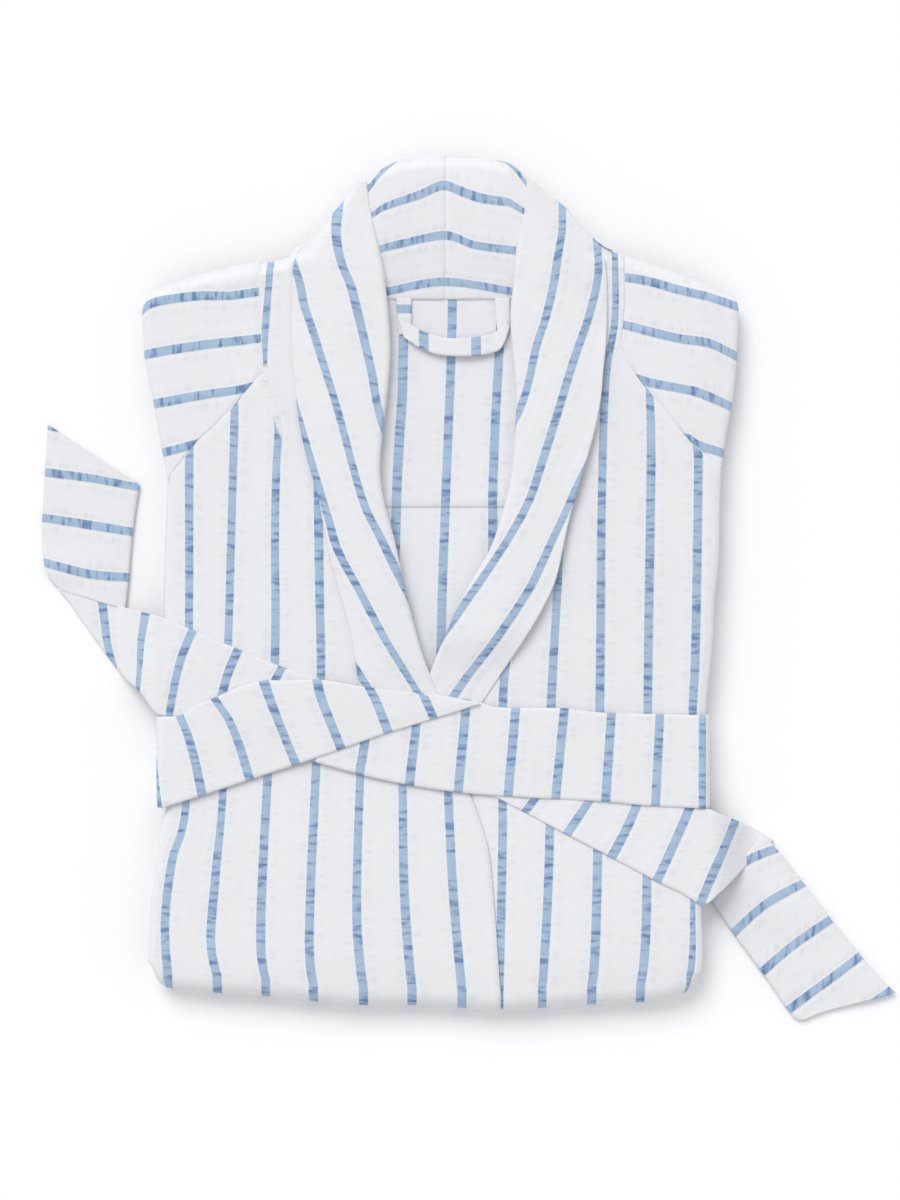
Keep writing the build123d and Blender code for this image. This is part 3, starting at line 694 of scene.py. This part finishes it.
def leaf_patch(side, low=0.0, inset=0.0):
    """One side of the collar, rolled outwards over the front. low and inset give the ply beneath it."""
    sign = side_sign[side]
    rows, columns = 190, 40
    roll, outer = through(roll_edge[side], rows), through(leaf_edge[side], rows)
    share = np.linspace(0, 1, columns)[None, :]
    x, drop = (roll[:, k:k + 1] + (outer - roll)[:, k:k + 1] * (share * (1 - inset) + inset) for k in (0, 1))
    at_roll, between, at_edge = leaf_lift[side]
    under_belt = ease((372 - drop) / 45)
    from_top = ease((drop - 20) / 70)
    lift = at_roll * (1 - share) ** 1.5 + between * np.sin(np.pi * share)
    lift = lift + at_edge * share**3 * ease((drop - 90) / 60)
    waves = 0.6 * uneven(share * 2, drop / 55, 11) + 0.3 * uneven(share * 4, drop / 23, 12)
    rest = body_top(x, np.maximum(drop, 60)) + 2.3
    crossed = leaf_cross[side] * ease((drop - 335) / 25)
    z = rest + (lift + waves) * under_belt * (0.35 + 0.65 * from_top) - low + crossed
    z = np.minimum(z, collar_highest)
    over_shoulder = (1 - ease((drop - 66) / 8)) * ease((share - 0.72) / 0.28)
    z = z - 3.5 * over_shoulder
    roll_z = z[:, :1]
    angle = np.linspace(np.pi, 0, 14)[:-1]
    tuck_z = np.maximum(rest[:, :1] - 2.6 - low, roll_z - 8)
    opened = 0.15 + 0.85 * ease((roll[:, 1:] - 25) / 60)
    curled = roll[:, :1] + sign * (3.5 if low else 0)
    curl_x = curled - sign * (0.8 if low else 3.2) * np.sin(angle) * opened
    curl_z = (roll_z + tuck_z) / 2 + (roll_z - tuck_z) / 2 * np.cos(angle)
    inward = np.linspace(1, 0, 8)[:-1]
    tuck_x = curled + sign * 16 * inward * opened
    x = np.hstack([tuck_x, curl_x, x])
    z = np.hstack([np.repeat(tuck_z, 7, 1), curl_z, z])
    drop = np.hstack([np.repeat(roll[:, 1:], 20, 1), drop])
    count = stripe_count(collar_stripes[side], x[:, 20:], drop[:, 20:], first=7)
    back = sign * np.concatenate([np.linspace(26, 10, 8)[:-1], np.linspace(10, 0, 14)[:-1]]) / pitch
    count = np.hstack([count[:, :1] - back, count])
    length = np.cumsum(np.concatenate([[0], np.linalg.norm(np.diff(roll, axis=0), axis=1)]))[:, None] + 0 * x
    dye_and_shade = np.ones_like(x)
    dye_and_shade[:, :20] = ease((roll[:, 1:] - 105) / 20)
    return placed(x, drop, z), count, length * mm, dye_and_shade


top_outline = [(-100, 74), (-93, 65), (-80, 51), (-65, 34), (-47, 16), (-34, 7), (-23, 2), (-10, 0),
               (9, -1), (28, -1),
               (40, 1), (54, 4), (68, 16), (82, 27), (93, 35), (103, 48), (117, 60), (126, 65)]
stand_stripes = [
    [(-60, 42), (-44, 22), (-28, 3), (-5, -14), (9, -18), (28, -14), (53, 3), (68, 23), (80, 38)],
    [(-44, 42), (-33, 35), (-9, 27), (7, 20), (19, 24), (33, 29), (47, 31), (54, 32), (64, 38)],
    [(-39, 65), (-23, 61), (9, 55), (30, 62), (61, 66)], [(-34, 94), (9, 87), (60, 94)]]


def stand_patch(side):
    """The inside of the collar behind the neck, from the neck seam up to where it falls over."""
    sign = side_sign[side]
    rows, columns = 50, 40
    share = np.linspace(0, 1, columns)[None, :]
    down = np.linspace(0, 1, rows)[:, None]
    end = edge_at(roll_edge[side], 14 + 86 * down[:, 0])[:, None] + sign * 5
    x = collar_join_x + (end - collar_join_x) * share
    top = np.interp(x, [p[0] for p in top_outline], [p[1] for p in top_outline])
    drop = top + (99 - top) * down
    z = body_top(x, np.maximum(drop, 60)) - 3.6 + 3.8 * np.sin(np.pi * down)
    z = z + 3.4 * ease(np.abs(x - 10) / 50) * (1 - down) + 0.4 * uneven(x / 22, drop / 26, 13)
    z = z - 6.0 * (1 - ease((drop - top) / 8)) + 1.8 * (1 - down)
    seam = 0.8 * np.exp(-(((x - collar_join_x) / 1.5) ** 2))
    count = stripe_count([swapped(line) for line in stand_stripes], drop, x)
    return placed(x, drop, z - seam), count, x * mm


turn_run, fall_run = 14, 70          # cloth in the turn at the top, and length of the fall behind


def fall_patch(side):
    """The part of the collar that falls over behind the neck and shoulders."""
    sign = side_sign[side]
    ends = (-98, collar_join_x) if side == "right" else (collar_join_x, 124)
    outline = [p for p in top_outline if ends[0] - 3 <= p[0] <= ends[1] + 3]
    edge = through(outline, 70)
    turn = np.linspace(0, 1, 14)[:, None]
    behind = np.linspace(0, 1, 26)[1:, None]
    off_middle = np.abs(edge[:, 0] - 10)
    start_z = body_top(edge[:, 0], np.maximum(edge[:, 1], 60)) - 8.0 + 3.4 * ease(off_middle / 50)
    start_z = start_z + 3.0 * ease((off_middle - 60) / 15)
    end_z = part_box("right_upper_collar")[0].z / mm + 0.7
    x = np.vstack([edge[:, 0] + 0 * turn, edge[:, 0] + 0 * behind])
    drop = np.vstack([edge[:, 1] - np.sin(np.pi * turn), edge[:, 1] + fall_run * behind])
    turned_z = (start_z + end_z) / 2 + (start_z - end_z) / 2 * np.cos(np.pi * turn)
    z = np.vstack([turned_z, end_z + 0 * edge[:, 0] + 0 * behind])
    run = np.vstack([-turn * turn_run, -turn_run - behind * fall_run]) / pitch + 0 * edge[:, 0]
    return placed(x, drop, z), run - 0.25, x * mm


for side in ("right", "left"):
    collar = cloth(side + "_upper_collar_cloth", [leaf_patch(side), stand_patch(side), fall_patch(side)],
                   collar_cloth, "robe", [side + "_upper_collar"])
    under = cloth(side + "_under_collar_cloth", [leaf_patch(side, low=1.6, inset=0.06)], collar_cloth,
                  "robe", [side + "_under_collar"])


# ---- Hanger loop ----
# A narrow folded strip sewn in at the neck seam by both ends, hanging down over the facing.

loop_cloth = seersucker("loop_cloth")
loop_top = 98.6                      # drop of the seam that holds both ends
facing_top = 2.0                     # height of the facing's upper face above the back


def strip_grid(upper, lower, columns, rows=30):
    """Places (x, drop) of a strip between its two edges."""
    high, low = through(upper, columns), through(lower, columns)
    share = np.linspace(0, 1, rows)[:, None]
    x = high[:, 0] + (low[:, 0] - high[:, 0]) * share
    drop = high[:, 1] + (low[:, 1] - high[:, 1]) * share
    return x, drop


def loop_patches():
    """The loop's two legs and the bow between them, lying over the facing."""
    parts = []
    for x0, x1 in ((-25, -15), (44, 54)):
        x, drop = strip_grid([(x0, loop_top), (x0 + 1, 112), (x0 + 2, 124)],
                             [(x1, loop_top), (x1, 112), (x1, 122)], 24, 9)
        count = (drop - 106) / pitch if x0 < 0 else 0.3 + 0 * x
        parts.append((placed(x, drop, back_top(x, drop, facing_top) + 1.2), count, x * mm))
    x, drop = strip_grid(
        [(-24, 113), (-14, 118), (-5, 123), (12, 127), (30, 126), (44, 123), (52, 115)],
        [(-20, 126), (-9, 133), (5, 138), (26, 139), (44, 136), (50, 130), (54, 118)], 60, 9)
    z = back_top(x, drop, facing_top) + 2.6 + 2.0 * np.sin(np.pi * np.linspace(0, 1, 60))
    parts.append((placed(x, drop, z), (x + 6) / 36.5 + 0 * z, drop * mm))
    return parts


loop = cloth("hanger_loop_cloth", loop_patches(), loop_cloth, "hanger", ["hanger_loop"])


# ---- Belt ----
# One long double strip of the same cloth, 63 mm wide, with the stripes across it.
# It runs round behind between the halves of the fold, crosses in front, and its tails drape over the sides.

# The belt's crinkles are a little deeper, in bump and in painted shade.
belt_cloth = seersucker("belt_cloth", crease=1.1)
belt_thick = 1.7 * mm
belt_width, wrap_run = 63, 26        # wrap_run is the cloth in the turn round each side


def soft_strip(x, drop, rest, lumps, fuller=0.0):
    """Height of a belt lying unevenly on rest, fuller along its middle."""
    share = np.linspace(0, 1, len(x))[:, None]
    return rest + fuller * np.sin(np.pi * share) + 0.45 * uneven(x / 24 + lumps, drop / 30, 21)


def belt_piece(name, patches, body, nodes):
    """One part of the belt, made from the belt cloth at the belt's thickness."""
    piece = cloth(name, patches, belt_cloth, body, nodes, thick=belt_thick)
    return piece


def wrap_side(x, drop, z, count, sign):
    """Carries a belt strip on round the side of the upper half and in behind it."""
    grids = (x, drop, z, count)
    edge, edge_drop, edge_z, edge_count = (grid[:, -1:] if sign > 0 else grid[:, :1] for grid in grids)
    low_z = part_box("belt_back_run")[0].z / mm + 0.9
    around = np.linspace(0, 1, 16)[1:]
    level = belt_drop - belt_width / 2 + belt_width * np.linspace(0, 1, len(x))[:, None]
    folds = (edge + sign * 4.6 * np.sin(np.pi * around),
             edge_drop + (level - edge_drop) * ease(around),
             (edge_z + low_z) / 2 + (edge_z - low_z) / 2 * np.cos(np.pi * around),
             edge_count + sign * around * wrap_run / pitch)
    if sign > 0:
        return [np.hstack(pair) for pair in zip(grids, folds)]
    return [np.hstack([fold[:, ::-1], grid]) for grid, fold in zip(grids, folds)]


def grid_of(x, drop, z, count):
    """A patch of a strip whose stripes run across it."""
    return placed(x, drop, z), count, drop * mm


right_wrap_stripes = [
    [(-176, 392), (-171, 404), (-166, 422), (-161, 446)], [(-151, 381), (-142, 394), (-135, 411),
     (-128, 434)], [(-117, 368), (-112, 383), (-105, 401), (-96, 423)], [(-80, 367), (-77, 380),
    (-64, 413)], [(-43, 373), (-38, 383), (-29, 407)], [(-5, 379), (1, 392), (6, 402)]]
left_wrap_stripes = [
    [(-82, 408), (-86, 431)], [(-47, 408), (-51, 431)], [(-11, 395), (-16, 438)], [(23, 388), (18, 443)],
    [(58, 387), (53, 446)], [(92, 388), (86, 448)], [(125, 389), (121, 450)], [(159, 391), (156, 452)],
    [(189, 392), (189, 455)]]

x, drop = strip_grid(
    [(-60, 372), (-20, 374), (12, 378), (33, 382), (47, 385.5), (89, 386), (117, 389), (150, 390),
     (189, 391)],
    [(-84, 422), (-37, 434.5), (12, 443), (60, 447), (117, 450), (150, 453), (189, 455)], 120)
z = soft_strip(x, drop, body_top(x, drop) + 3.3, 0, 0.5)
count = stripe_count(left_wrap_stripes, x, drop)
belt_piece("belt_left_wrap_cloth", [grid_of(*wrap_side(x, drop, z, count, 1))], "robe",
           ["belt_left_wrap", "belt_tuck"])

x, drop = strip_grid(
    [(-188, 392), (-175, 391), (-163, 383), (-154, 379.5), (-135, 371.5), (-119, 367), (-100, 366.6),
     (-79, 366), (-61, 368.7), (-44, 371.5), (-23, 374), (5, 378.5), (22, 380)],
    [(-188, 454.5), (-160, 445.5), (-128, 435), (-84, 420.5), (-37, 404), (5, 391), (33, 382)], 96)
z = soft_strip(x, drop, body_top(x, drop) + 3.5 + 1.9 * ease((x + 110) / 50), 5, 0.5)
count = stripe_count(right_wrap_stripes, x, drop)
wrapped = grid_of(*wrap_side(x, drop, z, count, -1))
plain_tip = np.where(wrapped[0][..., 0] > 12 * mm, 0.0, 1.0)
belt_piece("belt_right_wrap_cloth", [(*wrapped, plain_tip)], "robe",
           ["belt_right_wrap"])

run_low, run_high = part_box("belt_back_run")
ends = (run_low.x / mm, 0, run_high.x / mm)
x, drop = strip_grid([(end, (top_y - run_high.y) / mm) for end in ends],
                     [(end, (top_y - run_low.y) / mm) for end in ends], 90)
belt_piece("belt_back_run_cloth", [grid_of(x, drop, 0 * x + run_low.z / mm + 0.9, x / pitch)], "robe",
           ["belt_back_run"])


# ---- Belt tails ----
# Each tail comes out past the crossing, drapes over a side fold down to the table, and is turned
# over once so that its end lies flat at an angle.

side_x = {"right": 192, "left": 195}
tail_rise, tail_floor = 1.4, 1.6     # height of a tail's middle above the robe, and above the table
right_tail_stripes = [
    [(-233, 312), (-231, 327), (-229, 341), (-224, 357)], [(-201, 320), (-204, 338), (-205, 355),
     (-207, 375)], [(-168, 332), (-175, 348), (-180, 366), (-184, 388)], [(-135, 343), (-142, 359),
    (-147, 376)], [(-104, 355), (-110, 366)], [(-72, 362), (-78, 375)]]
left_tail_stripes = [
    [(38, 448), (30, 460)], [(72, 448), (63, 460)], [(110, 450), (93, 475)], [(143, 453), (135, 471),
     (124, 492)], [(180, 455), (170, 478), (157, 506)], [(212, 465), (203, 485), (194, 506), (189, 518)],
    [(243, 480), (232, 500), (224, 520)]]


def draped(side, x, drop):
    """Height of a tail: on the robe's upper face, over its side, and down to the table."""
    out = (np.abs(x) - side_x[side]) / 34
    on_top = body_top(np.clip(x, -190, 192), drop) + tail_rise
    return on_top + (tail_floor - on_top) * ease(out)


x, drop = strip_grid(
    [(-78, 366), (-100, 359), (-120, 351), (-152, 338), (-188, 323), (-217, 315.5), (-240, 309),
     (-262, 300)],
    [(-150, 395), (-172, 392), (-191, 390), (-205, 374), (-219, 362), (-240, 334), (-257, 310),
     (-264, 302)], 96)
z = soft_strip(x, drop, draped("right", x, drop), 9)
count = stripe_count(right_tail_stripes, x, drop)
right_tail = belt_piece("belt_right_tail_cloth", [grid_of(x, drop, z, count)], None,
                        ["belt_right_tail"])

x, drop = strip_grid(
    [(44, 440), (90, 441), (130, 446), (165, 451), (189, 455.5), (201, 460), (215, 466), (227, 472),
     (234, 476), (240, 480)],
    [(30, 441), (44, 447), (82, 467), (117, 485), (159, 507), (172, 513), (181, 518.5), (187, 522),
     (192, 522), (196, 519)], 96)
z = soft_strip(x, drop, draped("left", x, drop), 15)
count = stripe_count(left_tail_stripes, x, drop)
left_tail = belt_piece("belt_left_tail_cloth", [grid_of(x, drop, z, count)], None,
                       ["belt_left_tail"])

right_end_stripes = [
    [(-270, 187), (-251, 192), (-240, 195)], [(-272, 220), (-240, 224), (-208, 230)], [(-275, 252),
    (-254, 255), (-211, 262)], [(-275, 283), (-261, 287), (-240, 292), (-215, 294)]]
x, drop = strip_grid(
    [(-217, 316), (-215, 296), (-212, 262), (-209, 240), (-207, 229)],
    [(-262, 303), (-272, 290), (-275, 262), (-274, 240), (-271, 187)], 90)
z = 2.4 + 0.7 * uneven(x / 26, drop / 22, 31) + 0.9 * np.exp(-(((drop - 290) / 14) ** 2))
count = stripe_count([swapped(line) for line in right_end_stripes], drop, x)
right_end = belt_piece("belt_right_tail_end_cloth", [(placed(x, drop, z), count, x * mm)], None,
                       ["belt_right_tail_end"])

left_end_stripes = [
    [(243, 485), (222, 493), (205, 506), (196, 518)], [(262, 509), (236, 523), (215, 542)], [(280, 535),
    (257, 551), (235, 570)], [(303, 560), (278, 579), (254, 597)], [(326, 583), (300, 601)]]
x, drop = strip_grid(
    [(233, 476), (244, 488), (257, 504.5), (285, 541), (313, 574.5), (326, 587)],
    [(196, 520), (215, 548), (235, 575), (250, 597), (259, 606), (272, 601)], 90)
z = 3.2 + 0.8 * uneven(x / 24, drop / 24, 33) + 1.4 * np.exp(-(((x - drop + 280) / 22) ** 2))
count = stripe_count([swapped(line) for line in left_end_stripes], drop, x)
left_end = belt_piece("belt_left_tail_end_cloth", [(placed(x, drop, z), count, x * mm)], None,
                      ["belt_left_tail_end"])

for joint in frame["joints"]:
    tail = {"right_tail_lift": right_tail, "left_tail_lift": left_tail, "right_end_fold": right_end,
            "left_end_fold": left_end}.get(joint["name"])
    if tail is None:
        continue
    places = np.array([v.co for v in tail.data.vertices])
    hinge = np.array(joint["pos_m"])
    axis = np.array(joint["axis"])
    away = np.cross(axis, [0, 0, 1])
    away /= np.linalg.norm(away)
    if (places.mean(0) - hinge) @ away < 0:
        away = -away
    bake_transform(tail)


# ---- Belt loops ----
# Two narrow loops at the side seams that the belt passes through, hidden between the halves.

for side in ("right", "left"):
    low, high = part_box(side + "_belt_loop")
    middle = (low.x + high.x) / 2 / mm
    y = np.linspace(high.y, low.y, 40)[:, None]
    across = np.linspace(-4.5, 4.5, 7)[None, :]
    end_share = np.abs(np.linspace(-1, 1, 40))[:, None]
    z = low.z / mm + 0.5 + (high.z - low.z) / mm * 0.75 * ease((end_share - 0.93) / 0.07)
    x = middle + across + 0 * y
    places = np.stack([x * mm, y + 0 * x, (z + 0 * x) * mm], -1)
    belt_loop = cloth(side + "_belt_loop_cloth", [(places, 0.4 + across / pitch + 0 * y, y + 0 * x)],
                      loop_cloth, "robe", [side + "_belt_loop"], thick=0.6 * mm)


# ---- Table and light ----
# A smooth white table, a broad soft light from the upper left and even light from all round.

floor_mesh = bpy.data.meshes.new("table")
reach = 3.0
corners = [(-reach, -reach, 0), (reach, -reach, 0), (reach, reach, 0), (-reach, reach, 0)]
floor_mesh.from_pydata(corners, [], [(0, 1, 2, 3)])
floor = bpy.data.objects.new("table", floor_mesh)
bpy.context.scene.collection.objects.link(floor)
table_white = bpy.data.materials.new("table_white")
table_white.use_nodes = True
table_shader = table_white.node_tree.nodes["Principled BSDF"]
table_shader.inputs["Base Color"].default_value = (0.97, 0.97, 0.975, 1)
table_shader.inputs["Roughness"].default_value = 0.9
floor_mesh.materials.append(table_white)

world = bpy.data.worlds.new("studio")
bpy.context.scene.world = world
world.use_nodes = True
sky = world.node_tree.nodes["Background"]
sky.inputs["Color"].default_value = (0.985, 0.99, 1.0, 1)
sky.inputs["Strength"].default_value = 0.70

lamp_data = bpy.data.lights.new("window", "SUN")
lamp_data.angle = np.radians(34)
lamp_data.energy = 1.5
lamp = bpy.data.objects.new("window", lamp_data)
lamp.location = (-0.68, 1.45, 1.65)
lamp.rotation_euler = (-lamp.location).to_track_quat("-Z", "Y").to_euler()
bpy.context.scene.collection.objects.link(lamp)
